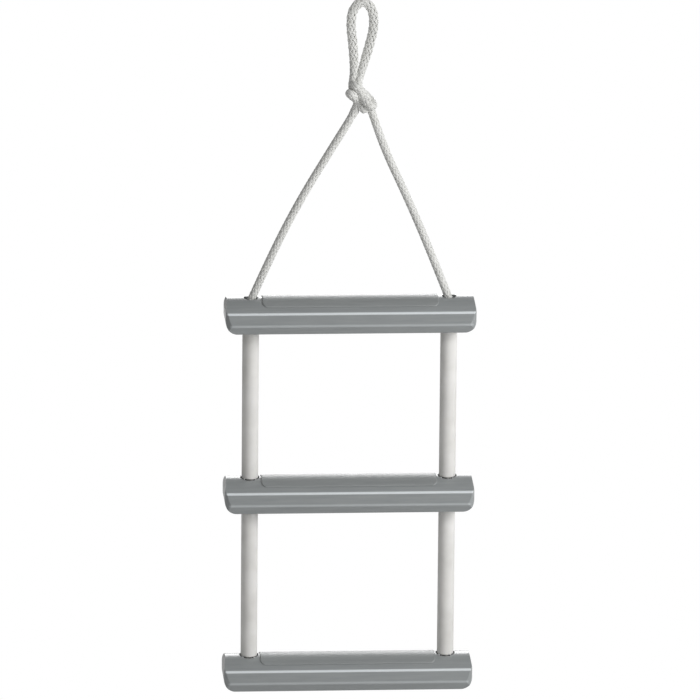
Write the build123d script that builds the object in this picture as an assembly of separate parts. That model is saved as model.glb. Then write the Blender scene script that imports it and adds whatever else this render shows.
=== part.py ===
from build123d import *
import math
import os

# A hanging rope ladder with three moulded steps. One rope makes the whole ladder: its middle is tied
# into a hanging eye, and its two sides run down through every step and through the white spacer tubes
# that keep the steps apart. A stopper knot and a washer under the bottom step hold everything up.
# Millimetres. +Z is up, +X is to the right and +Y points to the back. The origin is the inside of the
# hanging eye's top, where a hook carries the ladder.

# Rope
rope_radius = 5.2
rope_spacing = 254.0
ladder_centre_x = -12.0

# Steps
step_count = 3
step_pitch = 238.0
top_step_height = -424.0
step_length = 321.0
step_rise = 42.0
wall = 3.0
foot_half_depth = 28.5
ridge_half_depth = 34.5
ridge_height = 12.0
shoulder_half_depth = 31.0
shoulder_height = 27.5
end_corner_radius = 17.0
end_taper = 6.0
plan_corner_radius = 11.0
foot_radius = 3.0
ridge_radius = 6.0
shoulder_radius = 2.5

# Rope holes, the sockets that the spacer tubes stand in and the top step's wide mouths for the rope
bore_radius = 6.8
socket_radius = 12.5
mouth_radius = 9.6
socket_depth = 4.0
boss_radius = 16.5
boss_foot = 20.0
rib_thickness = 2.5
rib_foot = 7.0
rib_places = [-60.0, 0.0, 60.0]

# Non-slip pads on the treads
pad_half_length = 113.0
pad_half_depth = 24.0
pad_thickness = 1.2
pad_corner_cut = 4.0

# Spacer tubes
tube_radius = 10.65
tube_bore_radius = 8.8
tube_end_gap = 3.2
rope_gap = 0.3

# Hanging eye, its knot and the stoppers under the bottom step
knot_centre = (-1.5, 0.0, -120.5)
knot_width = 37.0
knot_height = 38.0
knot_depth = 30.0
left_leg_route = [
    (-139.0, 0.0, -386.0),
    (-112.5, 0.0, -325.0),
    (-78.5, 0.0, -257.0),
    (-40.0, 0.0, -192.0),
    (-9.5, 0.0, -129.0),
]
right_leg_route = [
    (115.0, 0.0, -386.0),
    (89.0, 0.0, -320.0),
    (60.5, 0.0, -253.0),
    (29.5, 0.0, -187.0),
    (7.5, 0.0, -129.0),
]
eye_route = [
    (-10.0, -1.5, -108.0),
    (-9.8, -1.5, -80.0),
    (-11.8, -1.0, -52.0),
    (-14.2, 0.0, -27.0),
    (-12.2, 0.0, -5.5),
    (0.9, 0.0, 6.6),
    (13.6, 0.0, -4.5),
    (15.9, 0.0, -28.0),
    (11.6, 1.0, -54.0),
    (2.8, 1.8, -82.0),
    (-1.2, 2.0, -108.0),
]
washer_radius = 14.0
washer_thickness = 2.0
stopper_radius = 13.0
stopper_height = 17.0

socket_floor = step_rise - socket_depth
rope_places = [ladder_centre_x - rope_spacing / 2, ladder_centre_x + rope_spacing / 2]
sides = ["left", "right"]
step_names = ["top", "middle", "bottom"]
bay_names = ["upper", "lower"]
rise_over_shoulder = step_rise - shoulder_height
crown_radius = (shoulder_half_depth**2 + rise_over_shoulder**2) / (2 * rise_over_shoulder)
crown_centre = step_rise - crown_radius


def step_base(index):
    """Height of the underside of a step, counted from the top one."""
    return top_step_height - index * step_pitch


def step_section():
    """Closed outline of a step seen from its end: a crowned tread over two sloping bands."""
    crown = ThreePointArc(
        (-shoulder_half_depth, shoulder_height), (0, step_rise), (shoulder_half_depth, shoulder_height)
    )
    sides_and_foot = Polyline(
        (shoulder_half_depth, shoulder_height),
        (ridge_half_depth, ridge_height),
        (foot_half_depth, 0),
        (-foot_half_depth, 0),
        (-ridge_half_depth, ridge_height),
        (-shoulder_half_depth, shoulder_height),
    )
    return make_face([crown, sides_and_foot])


def rounded_section():
    """The step's outline with its edges rounded as a moulding has them."""
    face = step_section()
    feet = face.vertices().filter_by(lambda v: v.Y < 1)
    face = fillet(feet, foot_radius)
    ridges = face.vertices().filter_by(lambda v: abs(v.Y - ridge_height) < 0.5)
    face = fillet(ridges, ridge_radius)
    shoulders = face.vertices().filter_by(lambda v: abs(v.Y - shoulder_height) < 0.5)
    return fillet(shoulders, shoulder_radius)


def prism_along_x(face, length):
    """Pushes an outline drawn as depth and height out along X, half to each side of the middle."""
    plane = Plane(origin=(-length / 2, 0, 0), x_dir=(0, 1, 0), z_dir=(1, 0, 0))
    return extrude(plane * face, length)


def end_mask(inset):
    """Solid that shapes a step's ends, moved in by a distance: tapered, with rounded lower corners."""
    half = step_length / 2 - inset
    top = step_rise + 20
    front = Polygon(
        (-half, inset),
        (half, inset),
        (half, shoulder_height),
        (half - end_taper, top),
        (end_taper - half, top),
        (-half, shoulder_height),
        align=None,
    )
    low_corners = front.vertices().filter_by(lambda v: v.Y < inset + 1)
    front = fillet(low_corners, end_corner_radius - inset)
    front_plane = Plane(origin=(0, 60, 0), x_dir=(1, 0, 0), z_dir=(0, -1, 0))
    width = 2 * (ridge_half_depth - inset)
    above = RectangleRounded(2 * half, width, plan_corner_radius - inset)
    return extrude(front_plane * front, 120) & extrude(Plane.XY * above, top)


def step_outer():
    """The outside of a step as one block."""
    return prism_along_x(rounded_section(), step_length) & end_mask(0)


def step_cavity():
    """The hollow under a step, open at the bottom."""
    inner = offset(step_section(), -wall, kind=Kind.INTERSECTION)
    hollow = prism_along_x(inner, step_length) & end_mask(wall)
    mouth = Pos(0, wall / 2) * Rectangle(2 * (foot_half_depth - wall), wall + 2)
    return hollow + prism_along_x(mouth, step_length - 2 * end_corner_radius)


def step_shell(base, recess_radius):
    """A moulded step: thin walls, ribs, and a boss round each rope hole with a recess in its top."""
    outer = step_outer()
    shell = outer - step_cavity()
    for x in rib_places:
        rib = Pos(x, 0, (rib_foot + step_rise) / 2) * Box(rib_thickness, 90, step_rise - rib_foot)
        shell += rib & outer
    for x in [-rope_spacing / 2, rope_spacing / 2]:
        boss = Pos(x, 0, (boss_foot + step_rise) / 2) * Cylinder(boss_radius, step_rise - boss_foot)
        shell += boss & outer
    for x in [-rope_spacing / 2, rope_spacing / 2]:
        shell -= Pos(x, 0, step_rise / 2) * Cylinder(bore_radius, step_rise * 2)
        shell -= Pos(x, 0, socket_floor + 10) * Cylinder(recess_radius, 20)
    return Pos(ladder_centre_x, 0, base) * shell


def crown_slice(inner_radius, outer_radius, length, depth):
    """A strip that follows the crowned tread between two radii."""
    ring = Circle(outer_radius) - Circle(inner_radius)
    window = Pos(0, outer_radius) * Rectangle(2 * depth, 2 * outer_radius)
    strip = Pos(0, crown_centre) * (ring & window)
    return prism_along_x(strip, length)


def tread_pad(base):
    """The non-slip pad: a thin skin that follows the crown of the tread."""
    reach = crown_radius + pad_thickness
    skin = crown_slice(crown_radius, reach, 2 * pad_half_length, pad_half_depth)
    outline = Rectangle(2 * pad_half_length, 2 * pad_half_depth)
    outline = chamfer(outline.vertices(), pad_corner_cut)
    skin = skin & extrude(Plane.XY * outline, step_rise + 10)
    return Pos(ladder_centre_x, 0, base) * skin


def upright(x, low, high, radius):
    """A round bar between two heights."""
    return Pos(x, 0, (low + high) / 2) * Cylinder(radius, high - low)


def spacer_tube(x, base):
    """The white tube from the step below to the step above."""
    low = base + socket_floor + tube_end_gap
    high = base + step_pitch + boss_foot - tube_end_gap
    tube = upright(x, low, high, tube_radius) - upright(x, low - 1, high + 1, tube_bore_radius)
    rims = tube.edges().filter_by(GeomType.CIRCLE).filter_by(lambda e: e.radius > tube_bore_radius + 0.5)
    return fillet(rims, 0.6)


def tube_rope(x, base):
    """The stretch of rope inside a spacer tube."""
    low = base + socket_floor + rope_radius + rope_gap
    high = base + step_pitch + boss_foot - rope_radius - rope_gap
    return upright(x, low, high, rope_radius)


def step_rope(x, base):
    """The stretch of rope inside a step's boss."""
    low = base + boss_foot + rope_radius + rope_gap
    high = base + socket_floor - rope_radius - rope_gap
    return upright(x, low, high, rope_radius)


def bottom_rope(x, base):
    """The rope inside the bottom step's boss, down to its stopper knot."""
    low = base + boss_foot - washer_thickness
    high = base + socket_floor - rope_radius - rope_gap
    return upright(x, low, high, rope_radius)


def rope_bend(x, height):
    """The short stretch of rope that flexes where a tube meets a step."""
    return Pos(x, 0, height) * Sphere(rope_radius)


def rope_leg(route):
    """A leg of the rope, from its round end in the top step's socket to the knot."""
    return cord_tube(route, rope_radius) + Pos(*route[0]) * Sphere(rope_radius)


def corner_radii(route):
    """The largest arc that each corner of a route has room for."""
    points = [Vector(*p) for p in route]
    radii = []
    for before, corner, after in zip(points, points[1:], points[2:]):
        turn = math.radians((corner - before).get_angle(after - corner))
        shorter = min((corner - before).length, (after - corner).length)
        radii.append(0.45 * shorter / math.tan(turn / 2))
    return radii


def cord_tube(route, radius):
    """A round cord along straight runs that are joined by tangent arcs."""
    radii = corner_radii(route)
    path = FilletPolyline(*route, radius=radii)
    first_run = Vector(*route[1]) - Vector(*route[0])
    section = Plane(origin=route[0], z_dir=first_run) * Circle(radius)
    tube = sweep(section, path=path, transition=Transition.RIGHT)
    print("cord arc radii:", [round(r, 1) for r in radii])
    print("cord length:", round(path.length, 1))
    print("volume over section times length:", round(tube.volume / (math.pi * radius**2 * path.length), 4))
    return tube


def barrel(width, depth, height):
    """A plump closed body, the outer shape of a tight knot."""
    ball = Sphere(height / 2)
    return scale(ball, by=(width / height, depth / height, 1))


def eye_knot():
    """The overhand knot that ties the two legs into the eye."""
    return Pos(*knot_centre) * barrel(knot_width, knot_depth, knot_height)


def stopper_knot(x, base):
    """The knot that keeps the bottom step on the rope."""
    top = base + boss_foot - washer_thickness
    knot = barrel(2 * stopper_radius, 2 * stopper_radius, stopper_height)
    return Pos(x, 0, top - stopper_height / 2) * knot


def stopper_washer(x, base):
    """The flat washer between the stopper knot and the boss."""
    top = base + boss_foot
    return upright(x, top - washer_thickness, top, washer_radius) - upright(
        x, top - washer_thickness - 1, top + 1, rope_radius + 0.3
    )


def save(node, *pieces):
    """Writes one node, as a group when it holds several separate pieces."""
    solids = [s for piece in pieces for s in piece.solids()]
    shape = solids[0] if len(solids) == 1 else Compound(children=solids)
    shape.label = node
    export_step(shape, f"parts/{node}.step")


def build():
    """Writes every node of the ladder."""
    os.makedirs("parts", exist_ok=True)
    save("hanging_eye", cord_tube(eye_route, rope_radius))
    save("eye_knot", eye_knot())
    for side, route in zip(sides, [left_leg_route, right_leg_route]):
        save(f"{side}_rope_leg", rope_leg(route))
    for index, name in enumerate(step_names):
        base = step_base(index)
        recess_radius = mouth_radius if name == "top" else socket_radius
        save(f"{name}_step", step_shell(base, recess_radius))
        save(f"{name}_tread_pad", tread_pad(base))
        passing = bottom_rope if name == "bottom" else step_rope
        save(f"{name}_step_rope", *[passing(x, base) for x in rope_places])
    for index, name in enumerate(bay_names):
        base = step_base(index + 1)
        upper_pivot = base + step_pitch + boss_foot
        lower_pivot = base + socket_floor
        save(f"{name}_bay_top_bends", *[rope_bend(x, upper_pivot) for x in rope_places])
        save(f"{name}_bay_foot_bends", *[rope_bend(x, lower_pivot) for x in rope_places])
        for side, x in zip(sides, rope_places):
            save(f"{name}_{side}_spacer_tube", spacer_tube(x, base))
            save(f"{name}_{side}_tube_rope", tube_rope(x, base))
    bottom = step_base(step_count - 1)
    for side, x in zip(sides, rope_places):
        save(f"{side}_stopper_knot", stopper_knot(x, bottom))
        save(f"{side}_stopper_washer", stopper_washer(x, bottom))


build()
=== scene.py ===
import math

import bpy
import numpy as np
from mathutils import Matrix, Vector


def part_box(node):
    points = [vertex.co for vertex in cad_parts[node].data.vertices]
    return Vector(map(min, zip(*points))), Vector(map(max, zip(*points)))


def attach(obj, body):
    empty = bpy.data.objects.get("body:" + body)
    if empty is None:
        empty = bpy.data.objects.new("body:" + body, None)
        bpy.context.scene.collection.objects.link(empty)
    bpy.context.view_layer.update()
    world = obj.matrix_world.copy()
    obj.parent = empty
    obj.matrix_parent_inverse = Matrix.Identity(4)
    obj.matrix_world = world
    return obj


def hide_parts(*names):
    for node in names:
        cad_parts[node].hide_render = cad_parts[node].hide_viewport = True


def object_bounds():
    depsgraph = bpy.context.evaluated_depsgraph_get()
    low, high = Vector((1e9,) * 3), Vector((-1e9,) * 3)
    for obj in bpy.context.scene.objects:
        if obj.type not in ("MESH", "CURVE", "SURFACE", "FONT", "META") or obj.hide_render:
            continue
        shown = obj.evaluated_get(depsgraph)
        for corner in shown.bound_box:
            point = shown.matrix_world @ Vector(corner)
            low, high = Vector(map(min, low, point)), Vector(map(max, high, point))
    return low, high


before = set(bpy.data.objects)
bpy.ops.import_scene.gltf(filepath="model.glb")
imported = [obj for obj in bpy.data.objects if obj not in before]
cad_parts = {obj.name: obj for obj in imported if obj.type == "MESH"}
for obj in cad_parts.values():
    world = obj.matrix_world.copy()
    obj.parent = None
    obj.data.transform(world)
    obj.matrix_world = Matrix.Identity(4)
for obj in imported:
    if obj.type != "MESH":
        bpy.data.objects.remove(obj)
cad_low, cad_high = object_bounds()
scene = bpy.context.scene

# Sizes and places worked out from the frame, in metres
top_low, top_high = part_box("top_step")
middle_low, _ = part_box("middle_step")
bottom_low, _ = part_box("bottom_step")
pad_low, pad_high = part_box("top_tread_pad")
LADDER_CENTRE = (top_low.x + top_high.x) / 2
STEP_RISE = top_high.z - top_low.z
STEP_PITCH = top_low.z - middle_low.z
BOTTOM_STEP_BASE = bottom_low.z
PAD_HALF_LENGTH = (pad_high.x - pad_low.x) / 2
PAD_HALF_DEPTH = (pad_high.y - pad_low.y) / 2
PAD_THICKNESS = pad_high.z - top_high.z

# Sizes and places that repeat the CAD model's
ROPE_RADIUS = 0.0052
KNOT_CENTRE = Vector((-0.0015, 0.0, -0.1205))
SHOULDER = (0.031, 0.0275)  # half depth and height above the step's base
RIDGE = (0.0345, 0.012)

# The pad's corners are rounded here, where the CAD model cuts them off
PAD_CORNER = 0.007

# The rope's route outside the knot: up the left leg, round the eye and down the right leg
LEFT_LEG = [
    (-0.1390, 0.0, -0.3860),
    (-0.1125, 0.0, -0.3250),
    (-0.0785, 0.0, -0.2570),
    (-0.0400, 0.0, -0.1920),
]
EYE = [
    (-0.0092, -0.0015, -0.0810),
    (-0.0108, -0.0010, -0.0530),
    (-0.0142, 0.0000, -0.0270),
    (-0.0122, 0.0000, -0.0055),
    (0.0009, 0.0000, 0.0066),
    (0.0136, 0.0000, -0.0045),
    (0.0159, 0.0000, -0.0280),
    (0.0094, 0.0010, -0.0550),
    (0.0012, 0.0018, -0.0830),
]
RIGHT_LEG = [
    (0.0295, 0.0, -0.1870),
    (0.0605, 0.0, -0.2530),
    (0.0890, 0.0, -0.3200),
    (0.1150, 0.0, -0.3860),
]


def link(obj):
    """Puts a new object in the scene."""
    scene.collection.objects.link(obj)
    return obj


def mesh_piece(name, points, faces, material, smooth=True):
    """A mesh object from arrays of points and faces."""
    mesh = bpy.data.meshes.new(name)
    mesh.from_pydata([tuple(p) for p in points], [], [tuple(f) for f in faces])
    mesh.validate()
    mesh.update()
    mesh.polygons.foreach_set("use_smooth", [smooth] * len(mesh.polygons))
    mesh.materials.append(material)
    return link(bpy.data.objects.new(name, mesh))


# ---------------------------------------------------------------- materials


class Nodes:
    """Short calls for building a material's node tree."""

    def __init__(self, name):
        self.material = bpy.data.materials.new(name)
        self.material.use_nodes = True
        self.tree = self.material.node_tree
        self.shader = self.tree.nodes["Principled BSDF"]

    def add(self, kind, **values):
        node = self.tree.nodes.new(kind)
        for key, value in values.items():
            if key in node.inputs:
                node.inputs[key].default_value = value
            else:
                setattr(node, key, value)
        return node

    def link(self, source, target):
        self.tree.links.new(source, target)

    def noise(self, place, scale, detail=3.0, roughness=0.5):
        node = self.add("ShaderNodeTexNoise", Scale=scale, Detail=detail, Roughness=roughness)
        self.link(place, node.inputs["Vector"])
        return node.outputs["Fac"]

    def ramp(self, factor, stops):
        node = self.add("ShaderNodeValToRGB")
        ramp = node.color_ramp
        while len(ramp.elements) < len(stops):
            ramp.elements.new(0.5)
        for element, (place, color) in zip(ramp.elements, stops):
            element.position = place
            element.color = (*color, 1.0)
        self.link(factor, node.inputs["Fac"])
        return node.outputs["Color"]

    def span(self, factor, low, high):
        node = self.add("ShaderNodeMapRange")
        node.inputs["To Min"].default_value = low
        node.inputs["To Max"].default_value = high
        self.link(factor, node.inputs["Value"])
        return node.outputs["Result"]

    def math(self, operation, *values):
        """One arithmetic step on up to three values, each of them a socket or a number."""
        node = self.add("ShaderNodeMath", operation=operation)
        for socket, value in zip(node.inputs, values):
            if isinstance(value, float):
                socket.default_value = value
            else:
                self.link(value, socket)
        return node.outputs["Value"]

    def bump(self, height, strength, distance):
        node = self.add("ShaderNodeBump", Strength=strength, Distance=distance)
        self.link(height, node.inputs["Height"])
        return node.outputs["Normal"]

    def object_place(self, stretch=(1.0, 1.0, 1.0)):
        coordinates = self.add("ShaderNodeTexCoord")
        mapping = self.add("ShaderNodeMapping")
        mapping.inputs["Scale"].default_value = stretch
        self.link(coordinates.outputs["Object"], mapping.inputs["Vector"])
        return mapping.outputs["Vector"]


def highlight_line_mask(made, depth, height, half_width, softness):
    """One along an edge of every step, front and back, and zero away from it: the mask of a painted
    highlight line.
    """
    parts = made.add("ShaderNodeSeparateXYZ")
    made.link(made.object_place(), parts.inputs["Vector"])
    front = made.math("ABSOLUTE", parts.outputs["Y"])
    rise = made.math("ADD", parts.outputs["Z"], STEP_PITCH - BOTTOM_STEP_BASE)
    rise = made.math("MODULO", rise, STEP_PITCH)
    flat = made.math("SUBTRACT", front, depth)
    tall = made.math("SUBTRACT", rise, height)
    squares = made.math("ADD", made.math("POWER", flat, 2.0), made.math("POWER", tall, 2.0))
    away = made.math("SQRT", squares)
    fade = made.add("ShaderNodeMapRange", interpolation_type="SMOOTHSTEP")
    fade.inputs["From Min"].default_value = half_width
    fade.inputs["From Max"].default_value = half_width + softness
    fade.inputs["To Min"].default_value = 1.0
    fade.inputs["To Max"].default_value = 0.0
    made.link(away, fade.inputs["Value"])
    return fade.outputs["Result"]


def moulded_grey(name, shades, grain_scale, grain_depth, coat, edges):
    """Satin grey moulding: faint flow lines along the step, a fine grain, small scuffs, and painted
    highlights as pale lines along the step edges.
    """
    made = Nodes(name)
    flow = made.noise(made.object_place((3.0, 40.0, 40.0)), 6.0, 4.0, 0.6)
    grain = made.noise(made.object_place(), grain_scale, 2.0, 0.5)
    scuffs = made.noise(made.object_place((30.0, 160.0, 160.0)), 4.0, 6.0, 0.7)
    color = made.ramp(flow, shades)
    # Painted highlights: each entry mixes a pale line into the colour along the shoulder or ridge edge,
    # broken up by the scuff noise
    for (depth, height), half_width, softness, strength, pale in edges:
        painted_highlight = made.math("MULTIPLY", highlight_line_mask(made, depth, height, half_width, softness), strength)
        patchy_highlight = made.math("MULTIPLY", painted_highlight, made.span(scuffs, 0.85, 1.1))
        mix = made.add("ShaderNodeMix", data_type="RGBA")
        made.link(patchy_highlight, mix.inputs["Factor"])
        made.link(color, mix.inputs[6])
        mix.inputs[7].default_value = (*pale, 1.0)
        color = mix.outputs[2]
    made.link(color, made.shader.inputs["Base Color"])
    made.link(made.span(scuffs, 0.30, 0.46), made.shader.inputs["Roughness"])
    made.link(made.bump(grain, 0.35, grain_depth), made.shader.inputs["Normal"])
    made.shader.inputs["Coat Weight"].default_value = coat
    made.shader.inputs["Coat Roughness"].default_value = 0.14
    return made.material


def white_tube():
    """White plastic pipe with faint draw lines along its length."""
    made = Nodes("white_tube")
    lines = made.noise(made.object_place((220.0, 220.0, 4.0)), 3.0, 3.0, 0.5)
    clouds = made.noise(made.object_place(), 30.0, 3.0, 0.5)
    made.link(made.ramp(clouds, TUBE_SHADES), made.shader.inputs["Base Color"])
    made.link(made.span(lines, 0.34, 0.48), made.shader.inputs["Roughness"])
    made.link(made.bump(lines, 0.08, 0.0004), made.shader.inputs["Normal"])
    made.shader.inputs["Subsurface Weight"].default_value = 0.15
    made.shader.inputs["Subsurface Radius"].default_value = (0.004, 0.004, 0.0035)
    return made.material


def white_rope():
    """White polypropylene yarn: fine fibres along each strand and a soft sheen."""
    made = Nodes("white_rope")
    uv = made.add("ShaderNodeUVMap", uv_map="strand")
    mapping = made.add("ShaderNodeMapping")
    mapping.inputs["Scale"].default_value = (1.0, 26.0, 1.0)
    made.link(uv.outputs["UV"], mapping.inputs["Vector"])
    fibres = made.noise(mapping.outputs["Vector"], 1.0, 3.0, 0.6)
    clouds = made.noise(made.object_place(), 55.0, 3.0, 0.6)
    halved = made.math("MULTIPLY", clouds, 0.5)
    mixed = made.math("MULTIPLY_ADD", fibres, 0.5, halved)
    made.link(made.ramp(mixed, ROPE_SHADES), made.shader.inputs["Base Color"])
    made.link(made.bump(fibres, 0.55, 0.0006), made.shader.inputs["Normal"])
    made.shader.inputs["Roughness"].default_value = 0.52
    made.shader.inputs["Sheen Weight"].default_value = 0.3
    made.shader.inputs["Sheen Roughness"].default_value = 0.4
    made.shader.inputs["Subsurface Weight"].default_value = 0.12
    made.shader.inputs["Subsurface Radius"].default_value = (0.003, 0.003, 0.0028)
    return made.material


def inner_rope():
    """The same rope where it runs inside the tubes and steps, with its strands as a slanting bump."""
    made = Nodes("inner_rope")
    waves = made.add("ShaderNodeTexWave", Scale=90.0, Distortion=1.5, Detail=2.0)
    waves.bands_direction = "DIAGONAL"
    made.link(made.object_place(), waves.inputs["Vector"])
    made.link(made.ramp(waves.outputs["Fac"], INNER_ROPE_SHADES), made.shader.inputs["Base Color"])
    made.link(made.bump(waves.outputs["Fac"], 0.6, 0.0006), made.shader.inputs["Normal"])
    made.shader.inputs["Roughness"].default_value = 0.6
    return made.material


def washer_steel():
    """Stainless washer with a turned face."""
    made = Nodes("washer_steel")
    grain = made.noise(made.object_place((300.0, 300.0, 60.0)), 4.0, 3.0, 0.6)
    made.link(made.ramp(grain, STEEL_SHADES), made.shader.inputs["Base Color"])
    made.link(made.span(grain, 0.25, 0.45), made.shader.inputs["Roughness"])
    made.shader.inputs["Metallic"].default_value = 1.0
    return made.material


# Each material's colours, as places along a ramp
STEP_SHADES = [
    (0.25, (0.275, 0.292, 0.295)),
    (0.5, (0.300, 0.317, 0.320)),
    (0.75, (0.325, 0.342, 0.345)),
]
PAD_SHADES = [
    (0.25, (0.270, 0.285, 0.286)),
    (0.5, (0.295, 0.310, 0.311)),
    (0.75, (0.322, 0.337, 0.338)),
]
TUBE_SHADES = [(0.25, (0.70, 0.69, 0.66)), (0.55, (0.80, 0.79, 0.765)), (0.8, (0.84, 0.83, 0.81))]
ROPE_SHADES = [(0.25, (0.66, 0.66, 0.63)), (0.5, (0.76, 0.76, 0.735)), (0.8, (0.84, 0.84, 0.82))]
INNER_ROPE_SHADES = [(0.2, (0.62, 0.62, 0.59)), (0.8, (0.80, 0.80, 0.77))]
STEEL_SHADES = [(0.3, (0.50, 0.51, 0.52)), (0.7, (0.66, 0.67, 0.68))]

# A painted highlight line's place, half width, softness, strength and colour
PAINTED_HIGHLIGHT_LINES = [
    (SHOULDER, 0.0010, 0.0012, 1.0, (0.78, 0.82, 0.84)),
    (RIDGE, 0.0006, 0.0020, 0.6, (0.55, 0.58, 0.59)),
]
STEP = moulded_grey("step_grey", STEP_SHADES, 900.0, 0.0001, 0.5, PAINTED_HIGHLIGHT_LINES)
PAD = moulded_grey("pad_grey", PAD_SHADES, 1500.0, 0.0006, 0.0, [])
TUBE = white_tube()
ROPE = white_rope()
INNER_ROPE = inner_rope()
STEEL = washer_steel()


# ---------------------------------------------------------------- rope


def curve_line(points):
    """The smooth line through a route: a NURBS curve's own points."""
    curve = bpy.data.curves.new("route", "CURVE")
    curve.dimensions = "3D"
    curve.resolution_u = 24
    spline = curve.splines.new("NURBS")
    spline.points.add(len(points) - 1)
    for target, point in zip(spline.points, points):
        target.co = (*point, 1.0)
    spline.order_u = 3
    spline.use_endpoint_u = True
    holder = link(bpy.data.objects.new("route", curve))
    bpy.context.view_layer.update()
    mesh = bpy.data.meshes.new_from_object(holder)
    line = [v.co.copy() for v in mesh.vertices]
    bpy.data.objects.remove(holder)
    bpy.data.meshes.remove(mesh)
    return line


def even_line(line, step):
    """The same line with its points a fixed step apart."""
    line = np.array([tuple(p) for p in line])
    lengths = np.concatenate([[0], np.cumsum(np.linalg.norm(np.diff(line, axis=0), axis=1))])
    count = max(int(round(lengths[-1] / step)), 2) + 1
    places = np.linspace(0, lengths[-1], count)
    return np.stack([np.interp(places, lengths, line[:, k]) for k in range(3)], axis=1), places


def moving_frames(points):
    """Two directions across the line at each point, turned as little as possible along it."""
    tangents = np.gradient(points, axis=0)
    tangents /= np.linalg.norm(tangents, axis=1)[:, None]
    across = np.cross(tangents[0], (0, 1, 0))
    across /= np.linalg.norm(across)
    first, second = [], []
    for tangent in tangents:
        across = across - tangent * np.dot(across, tangent)
        across /= np.linalg.norm(across)
        first.append(across)
        second.append(np.cross(tangent, across))
    return tangents, np.array(first), np.array(second)


STRANDS_EACH_WAY = 6
BRAID_LEAD = 0.058
STRAND_STEP = 0.0014
STRAND_RING = 8
STRAND_THICKNESS = 0.15
WEAVE_LIFT = 0.08
CORE_SHARE = 0.72
EYE_FLATTENING = 0.26
STRAND_PATH = 0.85
STRAND_FILL = 0.52
STRAND_SEAT = 0.8
UV_LENGTH = 0.02
UV_STRAND_GAP = 3.0


def ring_tube(centre, side, out, half_width, half_thickness, start):
    """Points and faces of a closed flat-oval tube along a line."""
    turns = np.arange(STRAND_RING) * 2 * math.pi / STRAND_RING
    wide = np.cos(turns)[None, :, None] * half_width[:, None, None] * side[:, None, :]
    thick = np.sin(turns)[None, :, None] * half_thickness[:, None, None] * out[:, None, :]
    points = (centre[:, None, :] + wide + thick).reshape(-1, 3)
    rows = np.arange(len(centre) - 1)[:, None] * STRAND_RING + start
    here = np.arange(STRAND_RING)[None, :]
    after = (here + 1) % STRAND_RING
    corners = [rows + here, rows + after, rows + after + STRAND_RING, rows + here + STRAND_RING]
    quads = np.stack(corners, -1).reshape(-1, 4)
    last = start + (len(centre) - 1) * STRAND_RING
    first_cap = tuple(start + r for r in reversed(range(STRAND_RING)))
    last_cap = tuple(last + r for r in range(STRAND_RING))
    return points, [tuple(q) for q in quads] + [first_cap, last_cap]


def unit(rows):
    """Each row scaled to length one."""
    return rows / np.linalg.norm(rows, axis=1)[:, None]


def smooth_step(values):
    """Zero to one with soft ends."""
    values = np.clip(values, 0, 1)
    return values * values * (3 - 2 * values)


def strand_uvs(places, ring):
    """Texture places of a strand's points: along the rope, then round the strand."""
    along = np.repeat(places, STRAND_RING) / UV_LENGTH
    return np.stack([along, np.tile(ring, len(places))], axis=1)


def braid(name, line, radius_along, material, flat_along=None):
    """A hollow braid along a line: strands wind both ways and pass over and under each other."""
    points, places = even_line(line, STRAND_STEP)
    tangents, first, second = moving_frames(points)
    radius = radius_along(points)
    flat = np.zeros(len(points)) if flat_along is None else flat_along(points)
    in_plane = unit(np.cross(tangents, (0.0, 1.0, 0.0)) + 1e-6)
    through = np.cross(tangents, in_plane)

    def flattened(offset):
        wide = np.sum(offset * in_plane, axis=1) * EYE_FLATTENING * flat
        deep = np.sum(offset * through, axis=1) * -EYE_FLATTENING * flat
        return offset + in_plane * wide[:, None] + through * deep[:, None]

    pitch = 2 * math.pi / STRANDS_EACH_WAY
    slant = math.cos(math.atan(2 * math.pi * ROPE_RADIUS * STRAND_PATH / BRAID_LEAD))
    half_width = STRAND_FILL * pitch * STRAND_SEAT * radius * slant
    middle = radius * (1 - STRAND_THICKNESS - WEAVE_LIFT)
    all_points, faces, uvs = [], [], []
    count = 0
    for way in (1, -1):
        for strand in range(STRANDS_EACH_WAY):
            angle = way * 2 * math.pi * places / BRAID_LEAD + strand * pitch
            weave = way * np.cos(2 * math.pi * STRANDS_EACH_WAY * places / BRAID_LEAD)
            outward = first * np.cos(angle)[:, None] + second * np.sin(angle)[:, None]
            centre = points + flattened(outward * (middle + WEAVE_LIFT * radius * weave)[:, None])
            along = unit(np.gradient(centre, axis=0))
            side = unit(np.cross(along, flattened(outward)))
            out = np.cross(side, along)
            made, quads = ring_tube(centre, side, out, half_width, STRAND_THICKNESS * radius, count)
            all_points.append(made)
            faces += quads
            count += len(made)
            ring = np.arange(STRAND_RING) / STRAND_RING + UV_STRAND_GAP * strand + way
            uvs.append(strand_uvs(places, ring))
    core_wide = CORE_SHARE * radius * (1 + EYE_FLATTENING * flat)
    core_deep = CORE_SHARE * radius * (1 - EYE_FLATTENING * flat)
    made, quads = ring_tube(points, in_plane, through, core_wide, core_deep, count)
    all_points.append(made)
    faces += quads
    uvs.append(strand_uvs(places, np.arange(STRAND_RING) / STRAND_RING))
    piece = mesh_piece(name, np.concatenate(all_points), faces, material)
    layer = piece.data.uv_layers.new(name="strand")
    corner_points = np.empty(len(piece.data.loops), np.int32)
    piece.data.loops.foreach_get("vertex_index", corner_points)
    layer.data.foreach_set("uv", np.concatenate(uvs)[corner_points].astype(np.float32).ravel())
    return piece, points


def overhand(t, width, height, depth):
    """A point of an overhand knot whose ends leave upwards and downwards at the back."""
    across = (3 * t - t**3) / 2.0
    up = (t**5 - 10 * t) / 9.5
    back = (t**4 - 4 * t**2 + 2.0) / 2.0
    return np.array((across * width, back * depth, up * height))


KNOT_WIDTH = 0.0112
KNOT_HEIGHT = 0.0122
KNOT_DEPTH = 0.0078
KNOT_SPREAD = 0.0056
KNOT_SWELL = 0.12
KNOT_REACH = 0.030
KNOT_FADE = 0.012
EYE_NECK = -0.092
EYE_FADE = 0.03
KNOT_TURNS = np.linspace(-1.86, 1.92, 21)


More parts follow.
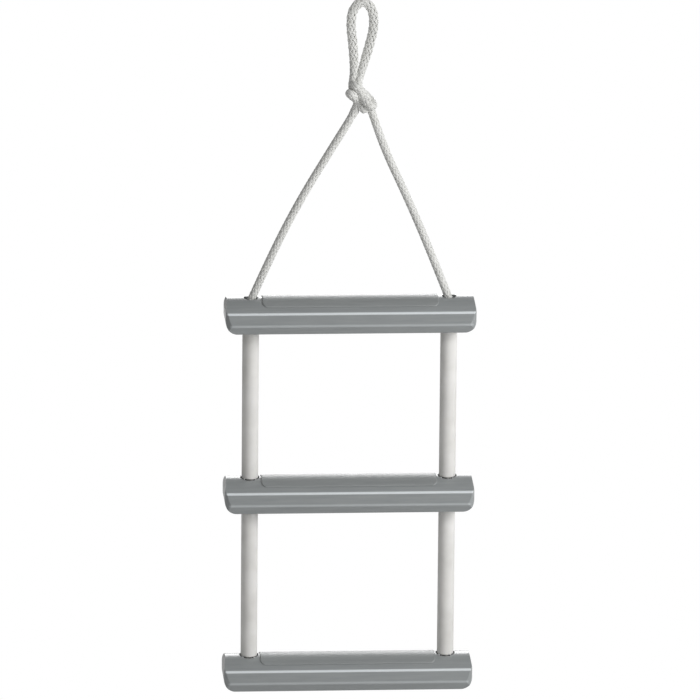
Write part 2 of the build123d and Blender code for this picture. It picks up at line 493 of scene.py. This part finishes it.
def knot_strands():
    """The two ropes' points through the eye's knot, side by side, from the bottom to the top."""
    middle = np.array([overhand(t, KNOT_WIDTH, KNOT_HEIGHT, KNOT_DEPTH) for t in KNOT_TURNS])
    sides = moving_frames(middle)[1]
    one = [tuple(KNOT_CENTRE + Vector(p)) for p in middle + sides * KNOT_SPREAD]
    other = [tuple(KNOT_CENTRE + Vector(p)) for p in middle - sides * KNOT_SPREAD]
    return (one, other) if one[0][0] < other[0][0] else (other, one)


def rope_radius(points):
    """The rope swells a little inside the knot, where it is bent and bunched."""
    away = np.linalg.norm(points - np.array(KNOT_CENTRE), axis=1)
    return ROPE_RADIUS * (1 + KNOT_SWELL * smooth_step((KNOT_REACH - away) / KNOT_FADE))


def eye_flatness(points):
    """The eye lies a little flat, from its neck upwards."""
    return smooth_step((points[:, 2] - EYE_NECK) / EYE_FADE)


def make_rope():
    """The rope from the left hole of the top step through the knot and the eye to the right hole."""
    knot_left, knot_right = knot_strands()
    eye = EYE if knot_left[-1][0] < knot_right[-1][0] else EYE[::-1]
    line = curve_line(LEFT_LEG + knot_left + eye + knot_right[::-1] + RIGHT_LEG)
    rope, path = braid("rope", line, rope_radius, ROPE, eye_flatness)
    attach(rope, "hanger")
    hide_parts("hanging_eye", "eye_knot", "left_rope_leg", "right_rope_leg")


STOPPER_ROPE_RADIUS = 0.0044
STOPPER_INSET = 0.0046
STOPPER_TAIL = 0.004
STOPPER_TURNS = np.linspace(1.8, -1.8, 21)


def stopper_radius(points):
    """The rope is pulled thin in the stoppers."""
    return np.full(len(points), STOPPER_ROPE_RADIUS)


def stopper_knot(side):
    """A stopper under the bottom step: an overhand knot pulled up tight, with a short tail."""
    low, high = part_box(f"{side}_stopper_knot")
    centre = (low + high) / 2
    half = (high - low) / 2
    reach = half.x - STOPPER_INSET
    rise = half.z - STOPPER_INSET
    turns = [tuple(overhand(t, reach, rise, reach)) for t in STOPPER_TURNS]
    route = [(0.0, 0.0, half.z)] + turns + [(reach, STOPPER_TAIL, -rise)]
    line = curve_line([tuple(centre + Vector(p)) for p in route])
    knot, _ = braid(f"{side}_stopper", line, stopper_radius, ROPE)
    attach(knot, "bottom_step")
    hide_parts(f"{side}_stopper_knot")


make_rope()
for side in ("left", "right"):
    stopper_knot(side)


# ---------------------------------------------------------------- non-slip pads

CROWN_RISE = STEP_RISE - SHOULDER[1]
CROWN_RADIUS = (SHOULDER[0] ** 2 + CROWN_RISE**2) / (2 * CROWN_RISE)
PAD_EDGE = 0.0010
PAD_EDGE_ROWS = np.array([0.0, 0.12, 0.3, 0.55, 0.8, 1.0])
PAD_SKIRT = 0.35
PAD_COLUMNS = 60
PAD_ROWS = 34


def pad_rows(half, fine, coarse):
    """Places across the pad, close together near its two edges."""
    near = PAD_EDGE_ROWS * fine
    inner = np.linspace(-half + fine, half - fine, coarse)[1:-1]
    return np.concatenate([-half + near, inner, (half - near)[::-1]])


def tread_pad(step):
    """A crowned rubber pad with rounded corners, a soft edge and a closed underside."""
    low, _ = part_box(f"{step}_step")
    along = pad_rows(1.0, 3 * PAD_EDGE / PAD_HALF_LENGTH, PAD_COLUMNS)
    across = pad_rows(PAD_HALF_DEPTH, 1.6 * PAD_EDGE, PAD_ROWS)
    points, faces = [], []
    columns = len(along)
    for layer in (1, 0):
        for y in across:
            past = max(abs(y) - (PAD_HALF_DEPTH - PAD_CORNER), 0.0)
            half = PAD_HALF_LENGTH - PAD_CORNER + math.sqrt(max(PAD_CORNER**2 - past**2, 1e-9))
            for share in along:
                x = share * half
                edge = min(half - abs(x), PAD_HALF_DEPTH - abs(y)) / PAD_EDGE
                lift = PAD_THICKNESS * math.sqrt(max(1 - (1 - min(edge, 1.0)) ** 2, 0.0))
                raised = PAD_SKIRT * PAD_THICKNESS + (1 - PAD_SKIRT) * lift
                reach = CROWN_RADIUS + (raised if layer else 0.0)
                height = STEP_RISE - CROWN_RADIUS + math.sqrt(reach**2 - y * y)
                points.append((LADDER_CENTRE + x, y, low.z + height))
    rows = len(across)
    under = rows * columns
    for r in range(rows - 1):
        for c in range(columns - 1):
            a = r * columns + c
            faces.append((a, a + 1, a + columns + 1, a + columns))
            faces.append((under + a, under + a + columns, under + a + columns + 1, under + a + 1))
    rim = list(range(columns))
    rim += [r * columns + columns - 1 for r in range(1, rows)]
    rim += [(rows - 1) * columns + c for c in range(columns - 2, -1, -1)]
    rim += [r * columns for r in range(rows - 2, 0, -1)]
    for here, after in zip(rim, rim[1:] + rim[:1]):
        faces.append((here, under + here, under + after, after))
    pad = mesh_piece(f"{step}_non_slip_pad", points, faces, PAD)
    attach(pad, f"{step}_step")
    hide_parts(f"{step}_tread_pad")


for step in ("top", "middle", "bottom"):
    tread_pad(step)


# ---------------------------------------------------------------- carried-over parts

for name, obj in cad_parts.items():
    if name.endswith("_step"):
        material = STEP
    elif name.endswith("_spacer_tube"):
        material = TUBE
    elif name.endswith("_washer"):
        material = STEEL
    else:
        material = INNER_ROPE
    obj.data.materials.clear()
    obj.data.materials.append(material)


# ---------------------------------------------------------------- studio

FLOOR_GAP = 0.06
FLOOR_RADIUS = 2.5
FLOOR_SIDES = 64
LIGHT_AIM = Vector((LADDER_CENTRE, 0.0, -0.45))
WORLD_GLOW = 0.26
WHITE = (1.0, 1.0, 1.0, 1.0)


def studio_white():
    """A pale floor that lights the object only a little and is clear from below."""
    made = Nodes("studio_white")
    made.shader.inputs["Base Color"].default_value = (0.8, 0.8, 0.8, 1.0)
    made.shader.inputs["Roughness"].default_value = 0.9
    glow = made.add("ShaderNodeEmission", Strength=1.0)
    path = made.add("ShaderNodeLightPath")
    seen = made.add("ShaderNodeMixShader")
    made.link(path.outputs["Is Camera Ray"], seen.inputs["Fac"])
    made.link(made.shader.outputs["BSDF"], seen.inputs[1])
    made.link(glow.outputs["Emission"], seen.inputs[2])
    side = made.add("ShaderNodeNewGeometry")
    clear = made.add("ShaderNodeBsdfTransparent")
    sided = made.add("ShaderNodeMixShader")
    made.link(side.outputs["Backfacing"], sided.inputs["Fac"])
    made.link(seen.outputs["Shader"], sided.inputs[1])
    made.link(clear.outputs["BSDF"], sided.inputs[2])
    made.link(sided.outputs["Shader"], made.tree.nodes["Material Output"].inputs["Surface"])
    return made.material


def round_floor(radius, sides):
    """A flat round floor under the ladder."""
    floor_height = cad_low.z - FLOOR_GAP
    points = [(0.0, 0.0, floor_height)]
    faces = []
    for k in range(sides):
        turn = 2 * math.pi * k / sides
        points.append((radius * math.cos(turn), radius * math.sin(turn), floor_height))
        faces.append((0, 1 + k, 1 + (k + 1) % sides))
    return mesh_piece("studio_floor", points, faces, studio_white())


round_floor(FLOOR_RADIUS, FLOOR_SIDES)


def area_light(name, place, size, power):
    """A soft rectangular lamp that faces the middle of the ladder."""
    lamp = bpy.data.lights.new(name, "AREA")
    lamp.shape = "RECTANGLE"
    lamp.size, lamp.size_y = size
    lamp.energy = power
    holder = link(bpy.data.objects.new(name, lamp))
    holder.location = place
    holder.rotation_euler = (LIGHT_AIM - Vector(place)).to_track_quat("-Z", "Y").to_euler()


def studio_world():
    """A world that the camera sees as white and that lights the ladder less than that."""
    world = bpy.data.worlds.new("studio_world")
    world.use_nodes = True
    nodes = world.node_tree.nodes
    links = world.node_tree.links
    background = nodes["Background"]
    background.inputs["Color"].default_value = WHITE
    background.inputs["Strength"].default_value = WORLD_GLOW
    seen = nodes.new("ShaderNodeBackground")
    seen.inputs["Color"].default_value = WHITE
    seen.inputs["Strength"].default_value = 1.0
    ray = nodes.new("ShaderNodeLightPath")
    choose = nodes.new("ShaderNodeMixShader")
    links.new(ray.outputs["Is Camera Ray"], choose.inputs["Fac"])
    links.new(background.outputs["Background"], choose.inputs[1])
    links.new(seen.outputs["Background"], choose.inputs[2])
    links.new(choose.outputs["Shader"], nodes["World Output"].inputs["Surface"])
    return world


area_light("key_right", (2.0, -1.45, 0.45), (1.0, 1.6), 46)
area_light("shoulder_strip", (0.0, -1.9, 1.25), (3.2, 0.16), 5)
area_light("ridge_strip", (0.0, -2.4, -0.75), (3.2, 0.16), 2)
area_light("back_fill", (0.6, 2.8, 0.2), (1.6, 1.6), 34)
scene.world = studio_world()
scene.view_settings.view_transform = "Standard"

# ---------------------------------------------------------------- camera

CAMERA_AIM = Vector((-0.0115, 0.0, -0.4528))
CAMERA_DISTANCE = 12.0
CAMERA_ELEVATION = math.radians(15.0)
CAMERA_AZIMUTH = math.radians(-4.0)
CAMERA_ROLL = math.radians(0.5)
VIEW_WIDTH = 0.896
SENSOR_WIDTH = 36.0

camera_data = bpy.data.cameras.new("camera")
camera = link(bpy.data.objects.new("camera", camera_data))
scene.camera = camera
level = math.cos(CAMERA_ELEVATION)
sideways = math.sin(CAMERA_AZIMUTH) * level
forwards = -math.cos(CAMERA_AZIMUTH) * level
offset = Vector((sideways, forwards, math.sin(CAMERA_ELEVATION)))
camera.location = CAMERA_AIM + offset * CAMERA_DISTANCE
facing = (CAMERA_AIM - camera.location).to_track_quat("-Z", "Y").to_matrix()
camera.rotation_euler = (facing @ Matrix.Rotation(CAMERA_ROLL, 3, "Z")).to_euler()
camera_data.sensor_width = SENSOR_WIDTH
camera_data.lens = SENSOR_WIDTH * CAMERA_DISTANCE / VIEW_WIDTH
camera_data.clip_end = 50.0
